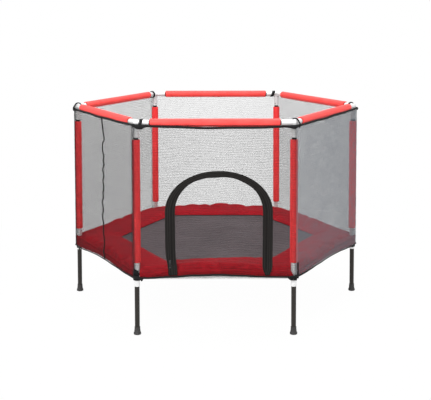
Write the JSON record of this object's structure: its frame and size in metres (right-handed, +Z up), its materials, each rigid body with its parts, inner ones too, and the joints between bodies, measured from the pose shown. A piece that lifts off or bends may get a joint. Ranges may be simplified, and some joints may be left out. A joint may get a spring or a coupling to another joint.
{
  "type": "trampoline",
  "caption": "Low hexagonal children's trampoline with padded edge, sprung mat, leaning padded posts and a mesh enclosure with an arched zip doorway.",
  "frame": {"origin": "on the floor under the centre of the mat", "axes": "+Z up; -Y out of the doorway; +X to the right for someone who faces the doorway, through a corner post"},
  "size_m": [1.4316, 1.2454, 0.9643],
  "materials": {
    "leg_paint": "satin powder coat",
    "silver_steel": "galvanised, slightly dull",
    "pole_paint": "satin",
    "button_steel": "plain",
    "spring_steel": "zinc plated",
    "foot_rubber": "matt",
    "pole_foam": "smooth vinyl over foam",
    "rail_foam": "smooth vinyl over foam",
    "pad_cover": "woven coated cover",
    "mat_weave": "woven, matt",
    "net_mesh": "fine mesh",
    "black_binding": "woven tape",
    "black_elastic": "woven elastic",
    "zip_tape": "ribbed tape",
    "zip_metal": "enamelled"
  },
  "bodies": {
    "frame": {"leg_right": "leg_paint", "leg_back_right": "leg_paint", "leg_back_left": "leg_paint", "leg_left": "leg_paint", "leg_front_left": "leg_paint", "leg_front_right": "leg_paint", "frame_corner_right": "silver_steel", "frame_corner_back_right": "silver_steel", "frame_corner_back_left": "silver_steel", "frame_corner_left": "silver_steel", "frame_corner_front_left": "silver_steel", "frame_corner_front_right": "silver_steel", "net_pole_right": "pole_paint", "net_pole_back_right": "pole_paint", "net_pole_back_left": "pole_paint", "net_pole_left": "pole_paint", "net_pole_front_left": "pole_paint", "net_pole_front_right": "pole_paint", "pole_sleeve_right": "pole_foam", "pole_sleeve_back_right": "pole_foam", "pole_sleeve_back_left": "pole_foam", "pole_sleeve_left": "pole_foam", "pole_sleeve_front_left": "pole_foam", "pole_sleeve_front_right": "pole_foam", "top_corner_right": "silver_steel", "top_corner_back_right": "silver_steel", "top_corner_back_left": "silver_steel", "top_corner_left": "silver_steel", "top_corner_front_left": "silver_steel", "top_corner_front_right": "silver_steel", "frame_tube_right_back": "silver_steel", "frame_tube_back": "silver_steel", "frame_tube_left_back": "silver_steel", "frame_tube_left_front": "silver_steel", "frame_tube_front": "silver_steel", "frame_tube_right_front": "silver_steel", "rail_sleeve_right_back": "rail_foam", "rail_sleeve_back": "rail_foam", "rail_sleeve_left_back": "rail_foam", "rail_sleeve_left_front": "rail_foam", "rail_sleeve_front": "rail_foam", "rail_sleeve_right_front": "rail_foam", "leg_feet": "foot_rubber", "snap_buttons": "button_steel", "top_rails": "pole_paint", "springs": "spring_steel", "pad": "pad_cover", "pad_skirt": "pad_cover", "net_wall": "net_mesh", "net_binding": "black_binding", "net_front": "net_mesh", "zip_tape": "zip_tape", "top_ties": "black_elastic", "foot_ties": "black_elastic"},
    "mat": {"mat": "mat_weave", "mat_rings": "spring_steel"},
    "door": {"door_flap": "net_mesh", "flap_tape": "zip_tape"},
    "slider": {"zip_slider": "zip_metal"},
    "pull": {"zip_pull": "zip_metal"}
  },
  "joints": [
    {"name": "mat_bounce", "type": "slide", "parent": "frame", "child": "mat", "axis": [0, 0, -1], "range_m": [0, 0.12], "stiffness_N_per_m": 3300, "deforming": ["springs"]},
    {"name": "door_fold", "type": "hinge", "parent": "frame", "child": "door", "pos_m": [0.016, -0.6199, 0.269], "axis": [1, 0, 0], "range_deg": [0, 120]},
    {"name": "zip_run", "type": "slide", "parent": "frame", "child": "slider", "axis": [0, 0.0214, 0.9998], "range_m": [0, 0.18]},
    {"name": "pull_swing", "type": "hinge", "parent": "slider", "child": "pull", "pos_m": [-0.198, -0.62164, 0.34208], "axis": [-1, 0, 0], "range_deg": [0, 150]}
  ]
}
